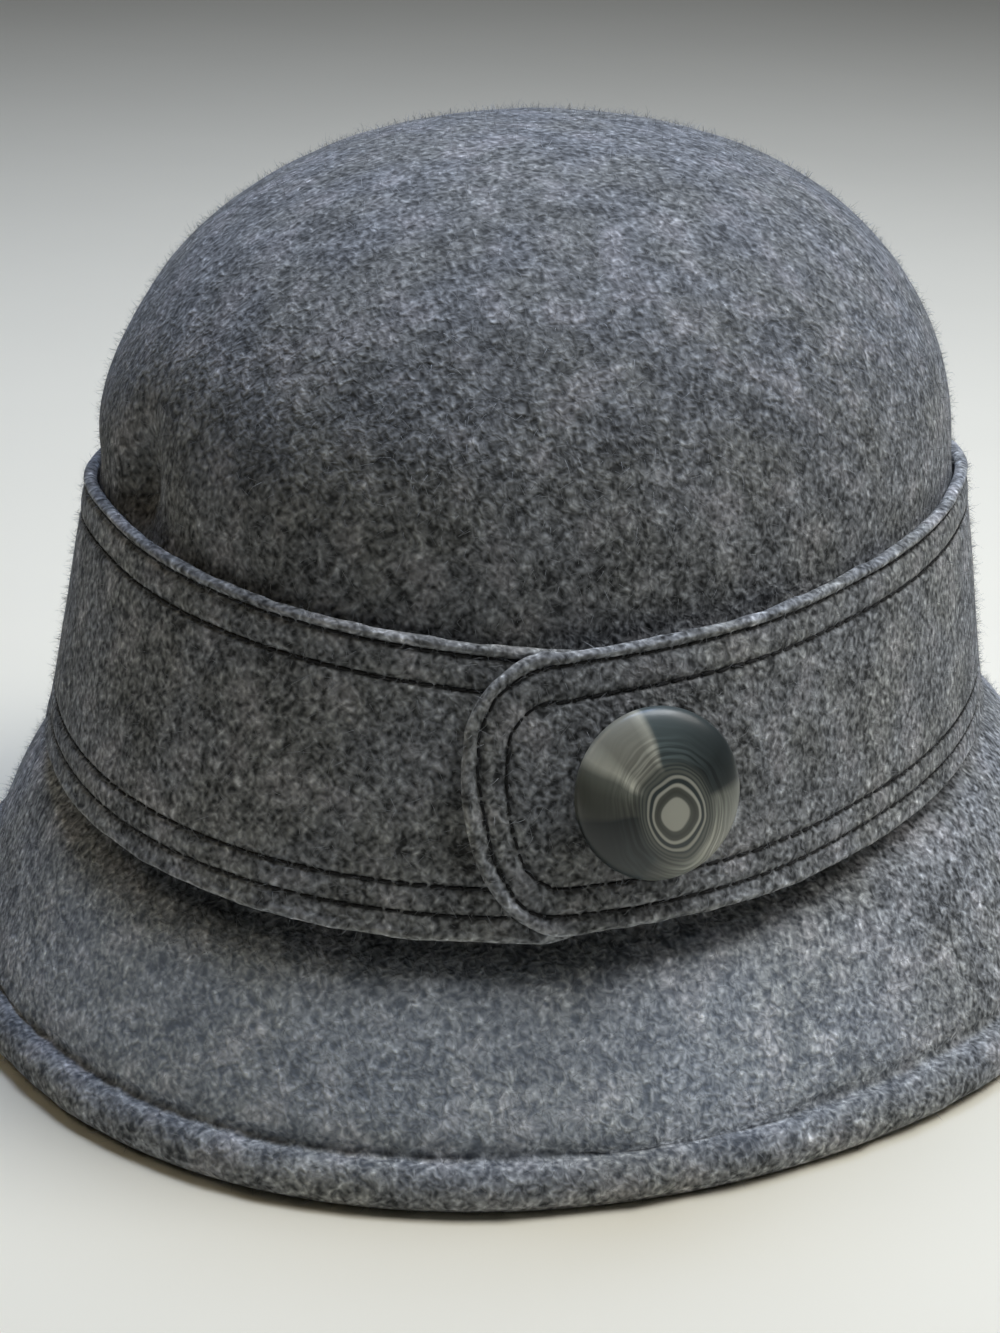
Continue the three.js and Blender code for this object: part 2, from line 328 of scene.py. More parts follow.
def bare_mesh(piece):
    """The piece's mesh by itself, as a pattern for copies."""
    mesh = piece.data
    bpy.data.objects.remove(piece)
    return mesh


def new_object(name, data):
    piece = bpy.data.objects.new(name, data)
    bpy.context.scene.collection.objects.link(piece)
    return piece


def copied_node(node, name, levels):
    """A merged copy of a CAD node's mesh, in four-sided faces, rounded by subdivision."""
    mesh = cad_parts[node].data.copy()
    mesh.materials.clear()
    mesh.name = name
    piece = only(new_object(name, mesh))
    edit_all()
    bpy.ops.mesh.remove_doubles(threshold=1e-6)
    bpy.ops.mesh.tris_convert_to_quads(
        face_threshold=math.radians(60), shape_threshold=math.radians(60)
    )
    bpy.ops.object.mode_set(mode="OBJECT")
    rounding = piece.modifiers.new("Rounding", "SUBSURF")
    rounding.levels = rounding.render_levels = levels
    bpy.ops.object.modifier_apply(modifier=rounding.name)
    return piece


def points_of(mesh, kind="co"):
    """The vertices' places, or their normals."""
    points = np.empty(len(mesh.vertices) * 3, np.float32)
    mesh.vertices.foreach_get(kind, points)
    return points.reshape(-1, 3).astype(float)


def put_points(mesh, points):
    mesh.vertices.foreach_set("co", points.astype(np.float32).ravel())
    mesh.update()


def whole_numbers(items, kind, each=1):
    numbers = np.empty(len(items) * each, np.int32)
    items.foreach_get(kind, numbers)
    return numbers


def add_attribute(mesh, name, values):
    layer = mesh.attributes.new(name, "FLOAT", "POINT")
    layer.data.foreach_set("value", values.astype(np.float32))


def fill_map(mesh, layer, uvs):
    """Gives each corner of the UV map the place of its vertex."""
    corners = whole_numbers(mesh.loops, "vertex_index")
    layer.data.foreach_set("uv", uvs[corners].astype(np.float32).ravel())


def smoothed(piece, angle=60.0):
    only(piece)
    bpy.ops.object.shade_smooth_by_angle(angle=math.radians(angle))


def wander(points, size, seed):
    """Smooth noise from -1 to 1 at each point, with lumps of that size."""
    shift = Vector((seed * 7.31, seed * 3.17, seed * 5.03))
    return np.array([noise.noise(Vector(p) / size + shift) for p in points])


def felt_lumps(points, looks, seed):
    """Soft lumps, with smaller ones among them."""
    size = looks.lump_size
    return wander(points, size, seed) + 0.4 * wander(points, size / 3, seed + 1)


def finished(piece, material, nodes=()):
    piece.data.materials.clear()
    piece.data.materials.append(material)
    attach(piece, "root")
    if nodes:
        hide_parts(*nodes)


def copies(name, pattern, places, shades=None):
    """One mesh of many copies of a small pattern mesh, each put by its own 3 x 4 matrix."""
    base = points_of(pattern)
    corners = whole_numbers(pattern.loops, "vertex_index")
    sizes = whole_numbers(pattern.polygons, "loop_total")
    count = len(places)
    points = np.einsum("nij,vj->nvi", places[:, :, :3], base) + places[:, None, :, 3]
    mesh = bpy.data.meshes.new(name)
    mesh.vertices.add(count * len(base))
    mesh.vertices.foreach_set("co", points.astype(np.float32).ravel())
    mesh.loops.add(count * len(corners))
    offsets = (np.arange(count) * len(base))[:, None]
    mesh.loops.foreach_set("vertex_index", (corners + offsets).astype(np.int32).ravel())
    mesh.polygons.add(count * len(sizes))
    all_sizes = np.tile(sizes, count)
    starts = np.concatenate([[0], np.cumsum(all_sizes)[:-1]]).astype(np.int32)
    mesh.polygons.foreach_set("loop_start", starts)
    mesh.update(calc_edges=True)
    mesh.polygons.foreach_set("use_smooth", np.ones(len(all_sizes), bool))
    if shades is not None:
        add_attribute(mesh, "shade", np.repeat(shades, len(base)))
    return new_object(name, mesh)


# Shader maths


class Value:
    """A shader socket that can be added, multiplied and so on in a Python expression."""

    def __init__(self, tree, socket):
        self.tree, self.socket = tree, socket

    def node(self, kind, settings=None, inputs=None, output=0):
        """A new shader node of that kind. Settings are its own, and inputs the values or
        links of its sockets, by name or number."""
        made = self.tree.nodes.new("ShaderNode" + kind)
        for name, value in (settings or {}).items():
            setattr(made, name, value)
        for name, value in (inputs or {}).items():
            if isinstance(value, Value):
                self.tree.links.new(value.socket, made.inputs[name])
            else:
                made.inputs[name].default_value = value
        return Value(self.tree, made.outputs[output])

    def maths(self, operation, *values):
        return self.node("Math", {"operation": operation}, dict(enumerate(values)))

    def __add__(self, other):
        return self.maths("ADD", self, other)

    def __radd__(self, other):
        return self.maths("ADD", other, self)

    def __sub__(self, other):
        return self.maths("SUBTRACT", self, other)

    def __rsub__(self, other):
        return self.maths("SUBTRACT", other, self)

    def __mul__(self, other):
        return self.maths("MULTIPLY", self, other)

    def __truediv__(self, other):
        return self.maths("DIVIDE", self, other)

    def smooth(self, start, end):
        """0 up to start, 1 from end on, and a smooth step between."""
        inputs = {0: self, 1: start, 2: end, 3: 0.0, 4: 1.0}
        return self.node("MapRange", {"interpolation_type": "SMOOTHSTEP"}, inputs)


def new_material(name):
    """A material with a bare surface shader, its start for expressions, and the shader."""
    material = bpy.data.materials.new(name)
    material.use_nodes = True
    tree = material.node_tree
    surface = next(n for n in tree.nodes if n.type == "BSDF_PRINCIPLED")
    return material, Value(tree, None), surface


def feed(surface, name, value):
    value.tree.links.new(value.socket, surface.inputs[name])


def settle(surface, **constants):
    """Sets the shader's own sockets, named with _ for a space."""
    for name, value in constants.items():
        surface.inputs[name.replace("_", " ")].default_value = value


def vector_maths(start, operation, inputs, output=0):
    return start.node("VectorMath", {"operation": operation}, inputs, output)


def mixed(start, share, under, over):
    """One colour laid over another by a share from 0 to 1."""
    return start.node("Mix", {"data_type": "RGBA"}, {0: share, 6: under, 7: over}, 2)


def ramp(start, stops, share):
    """Colours along a share from 0 to 1. Each stop is a place and its colour."""
    colours = start.node("ValToRGB", None, {0: share})
    elements = colours.socket.node.color_ramp.elements
    while len(elements) < len(stops):
        elements.new(1.0)
    for element, (place, colour) in zip(elements, stops):
        element.position, element.color = place, colour
    return colours


def attribute(start, name):
    return start.node("Attribute", {"attribute_name": name}, output=2)


def bumped(start, surface, strength, depth, height):
    inputs = {"Strength": strength, "Distance": depth, "Height": height}
    feed(surface, "Normal", start.node("Bump", None, inputs))


def rgba(colour, strength=1.0):
    """Screen colour, 0 to 1, as the linear light that shaders take."""
    linear = (c / 12.92 if c <= 0.04045 else ((c + 0.055) / 1.055) ** 2.4 for c in colour)
    return (*(c * strength for c in linear), 1.0)


def millimetres(start):
    place = start.node("TexCoord", output=3)
    return vector_maths(start, "SCALE", {0: place, 3: 1000.0})


# The four ways the matted fibres lie, each by two turns in degrees, and how drawn out they are
FIBRE_TURNS = ((-35, 45), (-35, 135), (35, 45), (35, 135))
FIBRE_LENGTH = 2.2

# The way that the brim's front looks, level with the floor: the brim's painted highlight is
# strongest that way
FRONT_WAY = (0.22, -0.975, 0.0)


def wool_noise(start, place, scale, detail=2.0, roughness=0.5, along=None, output=0):
    """Noise, or noise drawn out along a line that two turns in degrees give."""
    if along:
        turns = (0.0, *(math.radians(a) for a in along))
        inputs = {0: place, 2: turns, 3: (FIBRE_LENGTH, 1, 1)}
        place = start.node("Mapping", {"vector_type": "TEXTURE"}, inputs)
    inputs = {"Vector": place, "Scale": scale, "Detail": detail, "Roughness": roughness}
    return start.node("TexNoise", None, inputs, output)


def felt_material(name, looks, tone=1.0, sewn=False, painted_front_light=0.0, calm_top=0.0):
    """Melange wool felt: matted flecks and fibres in several greys. Tone scales its colours; the
    pieces are one felt, so their different tones are painted light. Sewn felt gets a painted
    highlight along its cut edges and painted shade where the thread draws it in. The last two say
    how much painted highlight lightens the brim's front, which also gets a painted shadow under
    the band's foot, and how much evener the greys are up on the dome."""
    material, start, surface = new_material(name)
    place = millimetres(start)
    drift = wool_noise(start, place, 0.35, 1.0, output=1)
    bent = vector_maths(start, "MULTIPLY_ADD", {0: drift, 1: (1.3, 1.3, 1.3), 2: place})
    fibres = 0.0
    for along in FIBRE_TURNS:
        fibres = fibres + (wool_noise(start, bent, 1.15, 0.6, 0.5, along) - 0.5)
    flecks = wool_noise(start, bent, 0.53, 2.2, 0.62) - 0.5
    clouds = wool_noise(start, place, 0.11, 2.0, 0.8) - 0.5
    tint = wool_noise(start, place, 0.06, 1.0, 0.5).smooth(0.36, 0.64)
    blush = wool_noise(start, place, 0.11, 1.0, 0.5).smooth(0.50, 0.72)
    shade = fibres * looks.fibre_contrast + flecks * looks.fleck_contrast
    shade = shade + clouds * looks.cloud_contrast
    if sewn:
        # Painted highlight along the band's cut edges, and painted shade in its stitch grooves
        shade = shade + attribute(start, "edge") * 0.4 - attribute(start, "drawn") * 0.7
    strength = (shade.maths("MAXIMUM", shade + 1.0, 0.1) + shade.maths("EXPONENT", shade)) * 0.5
    if painted_front_light or calm_top:
        height = start.node("SeparateXYZ", None, {0: place}, output=2)
    if painted_front_light:
        # Masks for the painted light on the brim's front: how far to the front, and the levels
        # that its painted highlight reaches
        forward = vector_maths(start, "DOT_PRODUCT", {0: place, 1: FRONT_WAY}, 1)
        front = forward.smooth(50.0, 112.0)
        reach = height.smooth(2.0, 16.0) * (1.0 - height.smooth(30.0, 44.0))
        # Painted shadow on the brim's front, just under the band's foot
        strength = strength * (1.0 - front * height.smooth(35.0, 43.0) * 0.45)
    if calm_top:
        calm = height.smooth(100.0, 145.0) * calm_top
        strength = strength * (1.0 - calm) + calm
    body = mixed(start, tint * 0.7, rgba(looks.cool, tone), rgba(looks.warm, tone))
    body = mixed(start, blush * 0.5, body, rgba(looks.mauve, tone))
    lit = vector_maths(start, "SCALE", {0: body, 3: strength})
    # Painted highlight: the brim's front is lightened toward a pale blue grey
    if painted_front_light:
        paler = {0: rgba(looks.pale, tone)[:3], 1: front * reach * painted_front_light, 2: lit}
        lit = vector_maths(start, "MULTIPLY_ADD", paler)
    feed(surface, "Base Color", lit)
    bumped(start, surface, 0.9, looks.relief, fibres * 0.6 + flecks * 1.2 + clouds * 0.8)
    settle(surface, Roughness=0.95, Specular_IOR_Level=0.15)
    settle(surface, Sheen_Weight=0.12, Sheen_Roughness=0.55, Sheen_Tint=(0.78, 0.82, 0.88, 1))
    return material


def nap_material(name, looks):
    """Loose surface fibres: each has its own grey, from the shade attribute."""
    material, start, surface = new_material(name)
    dark, body, light = (rgba(looks.cool, share) for share in (0.5, 1.0, 2.0))
    stops = [(0.0, dark), (0.5, body), (1.0, light)]
    feed(surface, "Base Color", ramp(start, stops, attribute(start, "shade")))
    settle(surface, Roughness=0.9, Specular_IOR_Level=0.2)
    return material


def thread_material(name, looks):
    """Dark twisted thread, lighter where a strand stands up."""
    material, start, surface = new_material(name)
    twist = wool_noise(start, millimetres(start), 3.2, 2.0, 0.6)
    stops = [(0.3, rgba(looks.thread)), (0.75, rgba(looks.thread, 3.2))]
    feed(surface, "Base Color", ramp(start, stops, twist))
    bumped(start, surface, 0.4, 0.1 * MM, twist)
    settle(surface, Roughness=0.6, Specular_IOR_Level=0.3)
    return material


# The button's pale eye on its face, and how wide and how tall the rings round it are
EYE, EYE_TURN, EYE_SCALE = (0.586, 0.437, 0.0), 16, (0.76, 0.96, 1.0)

# The thin rings round the eye: distance from its middle, tone and strength
RESIN_RINGS = [
    (0.0, "pale", 0.98), (0.100, "pale", 0.94), (0.113, "mid", 0.75), (0.138, "mid", 0.5),
    (0.160, "mid", 0.7), (0.171, "pale", 0.95), (0.180, "pale", 0.95), (0.190, "dark", 1.4),
    (0.208, "dark", 1.4), (0.219, "pale", 0.78), (0.228, "pale", 0.78), (0.238, "dark", 1.5),
    (0.254, "mid", 0.95), (0.262, "mid", 0.9), (0.272, "dark", 1.3), (0.284, "mid", 1.1),
    (0.294, "dark", 1.2), (0.306, "mid", 0.95), (0.318, "dark", 1.1), (0.332, "mid", 0.9),
    (0.350, "dark", 1.2), (0.372, "mid", 0.6), (0.395, "dark", 1.1),
]

# The broad clouds and veins behind the rings, partly the resin's marbling and partly painted
# reflection of the room: angle round the eye, tone and strength
RESIN_CLOUDS_AND_REFLECTION = [
    (-180, "dark", 0.7), (-160, "dark", 0.8), (-120, "dark", 1.5), (-100, "mid", 0.85),
    (-76, "mid", 1.8), (-45, "pale", 0.8), (-5, "mid", 1.5), (12, "mid", 1.1),
    (20, "dark", 0.9), (45, "dark", 0.9), (70, "dark", 1.8), (97, "dark", 3.2),
    (101, "dark", 3.3), (105, "pale", 1.0), (111, "pale", 0.62), (132, "pale", 0.6),
    (138, "pale", 0.95), (142, "pale", 1.1), (149, "mid", 1.2), (160, "mid", 0.7),
    (176, "mid", 0.5), (179.9, "dark", 0.8),
]


def resin_stops(looks, rows, first, last):
    """Colour stops for the rows, whose places run from first to last."""
    return [
        ((place - first) / (last - first), rgba(getattr(looks, "resin_" + tone), strength))
        for place, tone, strength in rows
    ]


def button_material(name, looks):
    """Polished marbled resin, whose broad clouds are partly painted reflection of the room. The
    pattern lies in the button's own UV map, which is its face in radii: the middle at (0.5, 0.5)
    and the rim half a unit away."""
    material, start, surface = new_material(name)
    uv = start.node("UVMap", {"uv_map": "Face"})
    flow = wool_noise(start, uv, 4.0, 1.0, 0.5, output=1)
    bent = vector_maths(start, "MULTIPLY_ADD", {0: flow, 1: (0.075, 0.075, 0.0), 2: uv})
    inputs = {0: bent, 1: EYE, 2: (0, 0, math.radians(EYE_TURN)), 3: EYE_SCALE}
    eye = start.node("Mapping", {"vector_type": "TEXTURE"}, inputs)
    away = vector_maths(start, "LENGTH", {0: eye}, 1)
    rings = ramp(start, resin_stops(looks, RESIN_RINGS, 0.0, 0.4), away * 2.5)
    offset = vector_maths(start, "SUBTRACT", {0: bent, 1: EYE})
    across = start.node("SeparateXYZ", None, {0: offset})
    up = Value(start.tree, across.socket.node.outputs[1])
    turn = up.maths("ARCTAN2", up, across) / (2 * math.pi) + 0.5
    # The clouds round the eye: marbling and painted reflection
    clouds = ramp(start, resin_stops(looks, RESIN_CLOUDS_AND_REFLECTION, -180, 180), turn)
    flowing = {0: away * 48.0, 1: across * 3.0, 2: up * 3.0}
    flowing = start.node("CombineXYZ", None, flowing)
    lines = wool_noise(start, flowing, 1.0, 1.0, 0.5).smooth(0.36, 0.66) - 0.45
    close = 1.0 - away.smooth(0.30, 0.56)
    clouds = vector_maths(start, "SCALE", {0: clouds, 3: lines * (close * 0.9 + 0.06) + 1.0})
    ringed = 1.0 - away.smooth(0.25, 0.36)
    feed(surface, "Base Color", mixed(start, ringed, clouds, rings))
    settle(surface, Roughness=0.34, IOR=1.46, Coat_Weight=0.12, Coat_Roughness=0.1)
    return material


def floor_material(name, looks):
    material, start, surface = new_material(name)
    soft = wool_noise(start, start.node("TexCoord", output=3), 6.0, 3.0, 0.6)
    stops = [(0.3, rgba(looks.floor, 0.97)), (0.7, rgba(looks.floor, 1.0))]
    feed(surface, "Base Color", ramp(start, stops, soft))
    settle(surface, Roughness=0.75)
    return material


# Settings


def colour_property(name, description, default):
    return FloatVectorProperty(
        name=name, description=description, default=default,
        subtype="COLOR_GAMMA", size=3, min=0.0, max=1.0,
    )


def length_property(name, description, default, low, high):
    """A length with its limits, given in millimetres."""
    return FloatProperty(
        name=name, description=description, default=default * MM, min=low * MM, max=high * MM,
        unit="LENGTH", precision=5,
    )


def plain_property(name, description, default, high):
    return FloatProperty(name=name, description=description, default=default, min=0, max=high)


def count_property(name, description, default, low, high):
    return IntProperty(name=name, description=description, default=default, min=low, max=high)


class ClocheFelt(bpy.types.PropertyGroup):
    cool: colour_property("Cool grey", "The felt's main grey", (0.47, 0.48, 0.492))
    warm: colour_property("Warm grey", "Where the felt looks browner", (0.478, 0.482, 0.472))
    mauve: colour_property("Mauve grey", "Where the felt looks redder", (0.482, 0.474, 0.482))
    # The colour of the painted highlight on the brim's front
    pale: colour_property("Pale grey", "What lightens the brim's front", (0.46, 0.498, 0.556))
    fibre_contrast: plain_property("Fibre contrast", "How far the matted fibres differ", 1.6, 6)
    fleck_contrast: plain_property("Fleck contrast", "How far the flecks differ", 3.05, 9)
    cloud_contrast: plain_property("Cloud contrast", "How far broad patches differ", 2.3, 6)
    relief: length_property("Relief", "Depth of the matted fibres", 0.38, 0, 2)
    lump_height: length_property("Lump height", "How far the felt's face wanders", 0.22, 0, 1)
    lump_size: length_property("Lump size", "From one soft lump to the next", 17, 2, 60)
    dent: length_property("Crown dent", "Depth of the dent over the band", 4.5, 0, 6)
    rounding: count_property("Rounding", "Subdivision of the crown and the brim", 2, 1, 3)


class ClocheNap(bpy.types.PropertyGroup):
    length: length_property("Fibre length", "Mean length of a loose fibre", 2.1, 0.2, 6)
    width: length_property("Fibre width", "Width of a loose fibre", 0.065, 0.01, 0.4)
    crown_count: count_property("On the crown", "Loose fibres on the crown", 30000, 0, 48000)
    brim_count: count_property("On the brim", "Loose fibres on the brim", 30000, 0, 48000)
    band_count: count_property("On the band", "Loose fibres on the band", 22000, 0, 48000)


class ClocheSewing(bpy.types.PropertyGroup):
    pitch: length_property("Stitch length", "From one needle hole to the next", 3.0, 1, 8)
    thickness: length_property("Thread thickness", "Diameter of the thread", 0.6, 0.1, 1.5)
    sink: length_property("Sink", "How far a row of stitches pulls the felt in", 0.7, 0, 1.5)
    thread: colour_property("Thread", "The sewing thread", (0.05, 0.05, 0.055))


class ClocheButton(bpy.types.PropertyGroup):
    radius: length_property("Radius", "The button's radius", 15, 5, 30)
    # The resin colours also paint the reflection of the room in the button's clouds
    resin_dark: colour_property("Dark resin", "The dark clouds", (0.18, 0.205, 0.205))
    resin_mid: colour_property("Grey resin", "The middle grey", (0.40, 0.41, 0.38))
    resin_pale: colour_property("Pale resin", "The pale veins and rings", (0.70, 0.70, 0.65))


class ClocheStage(bpy.types.PropertyGroup):
    floor: colour_property("Floor", "The plain floor", (0.95, 0.925, 0.85))
    overhead: plain_property("Overhead light", "Watts of the light above and behind", 5.9, 200)
    right: plain_property("Right light", "Watts of the light up on the right", 5.6, 200)
    low_right: plain_property("Low right light", "Watts of the lower right light", 2.2, 200)
    left: plain_property("Left light", "Watts of the light on the left", 0.85, 200)
    size: length_property("Light size", "Diameter of each light", 500, 50, 3000)
    fill: plain_property("Room light", "Strength of the even light all round", 0.012, 4)


# Operators


class CLOCHE_OT_crown(bpy.types.Operator):
    """Make the felt crown from a smoothed copy of the frame's crown"""

    bl_idname = "cloche.crown"
    bl_label = "Crown"

    def execute(self, context):
        looks = context.scene.cloche_felt
        piece = copied_node("crown", "crown_felt", looks.rounding)
        points, normals = points_of(piece.data), points_of(piece.data, "normal")
        free = smoothstep(points[:, 2], *CROWN_BARE)
        outward = np.sign((normals * (points - CROWN_INSIDE)).sum(1))
        move = looks.lump_height * felt_lumps(points, looks, 1) * free * outward
        dent = bell(azimuth_of(points) - DENT_AZIMUTH, DENT_TURN)
        dent = dent * bell(points[:, 2] - DENT_LEVEL, DENT_RISE)
        inward = -points * (1, 1, 0) / radius_of(points).clip(MM)[:, None]
        points = points + inward * (looks.dent * dent)[:, None]
        put_points(piece.data, points + normals * move[:, None])
        smoothed(piece)
        # The pieces are one felt; the crown's lower tone than the brim's and the band's is painted
        # shade
        felt = felt_material("Crown felt", looks, 0.84, calm_top=0.22)
        finished(piece, felt, ["crown"])
        return {"FINISHED"}


class CLOCHE_OT_brim(bpy.types.Operator):
    """Make the bell brim and its turned-under hem"""

    bl_idname = "cloche.brim"
    bl_label = "Brim"

    def execute(self, context):
        looks = context.scene.cloche_felt
        piece = copied_node("brim", "brim_felt", looks.rounding)
        points, normals = points_of(piece.data), points_of(piece.data, "normal")
        azimuth = azimuth_of(points)
        move = self.outward(points, azimuth, looks) * smoothstep(points[:, 2], *BRIM_BARE)
        points = points + normals * move[:, None]
        points[:, :2] *= (1 - self.inward(points, azimuth) / radius_of(points))[:, None]
        put_points(piece.data, points)
        smoothed(piece)
        # The brim's higher tone and its paler front are painted highlight, and the darkening under
        # the band's foot is painted shadow; the brim is the same felt as the crown
        felt = felt_material("Brim felt", looks, 1.22, painted_front_light=0.7)
        finished(piece, felt, ["brim"])
        return {"FINISHED"}

    @staticmethod
    def outward(points, azimuth, looks):
        """The felt's lumps, and on the hem its crease, its pucker, its roll and its puffs."""
        crease = ring_point(HEM_CREASE, azimuth)
        below = crease[:, 2] - points[:, 2]
        outside = radius_of(points) - radius_of(crease) > -2.0 * MM + below * 0.45
        around = np.radians(azimuth) * HEM_RADIUS / PUCKER_PITCH
        pucker = 0.82 + 0.18 * np.cos(2 * math.pi * around) + 0.35 * wander(points, 6 * MM, 10)
        groove = CREASE_DEPTH * pucker * bell(below, 1.0 * MM) * outside
        roll = np.sin(np.clip((below - ROLL_TOP) / ROLL_HEIGHT, 0, 1) * math.pi) ** 0.8
        groove = groove - ROLL_OUT * roll * outside
        hem = smoothstep(below, 0.5 * MM, 3 * MM) * outside
        off_floor = smoothstep(points[:, 2], 0.2 * MM, 2.5 * MM)
        lumps = looks.lump_height * felt_lumps(points, looks, 3) * (1 - 0.3 * hem)
        puffs = (wander(points, 9 * MM, 5) * 0.5 + wander(points, 4 * MM, 11) * 0.25) * MM * hem
        return (lumps + puffs) * off_floor * outside - groove

    @staticmethod
    def inward(points, azimuth):
        """How far the brim is drawn in under the band, most of all at the front."""
        foot = ring_point(BAND_FOOT, azimuth)[:, 2]
        front = smoothstep(np.cos(np.radians(azimuth - BRIM_FRONT_AZIMUTH)), 0.2, 0.9)
        up = np.clip((points[:, 2] - FACE_FROM) / (foot - FACE_FROM), 0, 1)
        over = bell(np.maximum(points[:, 2] - foot, 0), FACE_FADE)
        under = bell(points[:, 2] - foot + 1.5 * MM, DRAWN_SPREAD)
        drawn = (DRAWN_ALL + DRAWN_FRONT * front) * under
        return drawn + FACE_DRAWN * front * up**1.1 * over


def strip_rows():
    """Shares down the strip for the grid's rows: close at the edges and at the stitching."""
    rows = [np.linspace(a, b, n, endpoint=False) for a, b, n in STRIP_ROWS]
    return np.concatenate([*rows, [STRIP_HEIGHT]]) / STRIP_HEIGHT


def tab_end(count):
    """Lengths round the rounded end of the tab, closest at its tip."""
    return TAB_END * (1 - np.cos(np.linspace(0.06, 1, count) * math.pi / 2))


def strip_columns():
    """Lengths along the strip for the grid's columns."""
    close = np.arange(CLOSE_FROM, CLOSE_TO, CLOSE_STEP)
    return np.concatenate([tab_end(30), close, np.linspace(0.061, BandLine.whole, 400)])


def strip_outline():
    """The strip's outline round the tab's end, and both its long edges, in the flat."""
    lengths = np.concatenate([tab_end(60), np.arange(CLOSE_FROM, BandLine.whole + 0.002, 0.002)])
    top, foot = band_edges(lengths)
    upper, lower = np.stack([lengths, top], -1), np.stack([lengths, foot], -1)
    return np.concatenate([upper[::-1], lower])


class CLOCHE_OT_band(bpy.types.Operator):
    """Make the lapped band from a flat strip, rounded at its edges and drawn in where it is
    sewn"""

    bl_idname = "cloche.band"
    bl_label = "Band"

    def execute(self, context):
        looks, sewing = context.scene.cloche_felt, context.scene.cloche_sewing
        rows, columns = strip_rows(), strip_columns()
        piece, column, row, outer = self.doubled_grid(len(columns) - 1, len(rows) - 1)
        length = columns[column]
        top, foot = band_edges(length)
        down = top + (foot - top) * rows[row]
        here = np.stack([length, down], -1)
        edge, _ = distance_to_line(here, strip_outline())
        near = np.clip(1 - edge / EDGE_ROUND, 0, 1)
        rounding = EDGE_ROUND * (1 - np.sqrt(1 - near**2)) * 0.96
        drawn, beside, sewn = np.zeros((3, len(here)))
        for line in (stitch_row(*row) for row in STITCH_ROWS.values()):
            away, along = distance_to_line(here, line)
            beside = np.maximum(beside, bell(away, 3 * MM))
            # Where the stitch grooves get painted shade
            sewn = np.maximum(sewn, bell(away, GROOVE_SHADE_SPREAD))
            pulled = 0.86 + 0.14 * np.cos(2 * math.pi * along / sewing.pitch)
            drawn = np.maximum(drawn, sewing.sink * pulled * bell(away, GROOVE_SPREAD))
        puffed = sum(rise * bell(edge - place, spread) for rise, place, spread in EDGE_SWELLS)
        placed = band_place(length, down, 0 * length)
        lumps = looks.lump_height * 0.8 * felt_lumps(placed, looks, 6) * (1 - beside)
        face, back = puffed - rounding - drawn + lumps, rounding - FELT_WALL
        ragged = wander(placed, 7 * MM, 8) + 0.5 * wander(placed, 2.2 * MM, 9)
        middle = np.sign(down - band_height(length) / 2)
        cut = down + 0.35 * MM * ragged * middle * np.exp(-edge / (1.2 * MM))
        put_points(piece.data, band_place(length, cut, np.where(outer, face, back)))

        # Masks for painted light: a highlight along the cut edges and shade in the stitch grooves
        add_attribute(piece.data, "edge", bell(edge, RIM_HIGHLIGHT_SPREAD))
        add_attribute(piece.data, "drawn", sewn * outer)
        layer = piece.data.uv_layers[0]
        layer.name = "Strip"
        fill_map(piece.data, layer, np.stack([length / BandLine.whole, 1 - down / 0.06], -1))
        smoothed(piece, 70)
        # The band's tone differs from the other pieces' as painted light, and it gets a painted
        # highlight along its cut edges and painted shade in its stitch grooves
        felt = felt_material("Band felt", looks, 0.98, sewn=True)
        finished(piece, felt, ["band"])
        top, foot = band_edges(columns)
        tall = foot - top
        area = float((np.diff(columns) * (tall[1:] + tall[:-1]) / 2).sum())
        return {"FINISHED"}

    @staticmethod
    def doubled_grid(across, high):
        """A grid with a copy of itself behind it, joined all round, each vertex's column and
        row, and whether it is on the outer face."""
        piece = new_primitive(
            "band_felt", bpy.ops.mesh.primitive_grid_add,
            x_subdivisions=across, y_subdivisions=high, size=1.0,
        )
        flat = points_of(piece.data)
        column = np.rint((flat[:, 0] + 0.5) * across).astype(int)
        row = np.rint((0.5 - flat[:, 1]) * high).astype(int)
        edit_all()
        bpy.ops.mesh.duplicate()
        bpy.ops.mesh.flip_normals()
        bpy.ops.transform.translate(value=(0, 0, -0.1))
        bpy.ops.mesh.select_all(action="DESELECT")
        bpy.ops.mesh.select_mode(type="EDGE")
        bpy.ops.mesh.select_non_manifold(extend=False)
        bpy.ops.mesh.bridge_edge_loops()
        bpy.ops.object.mode_set(mode="OBJECT")
        outer = np.arange(2 * len(flat)) < len(flat)
        return piece, np.tile(column, 2), np.tile(row, 2), outer


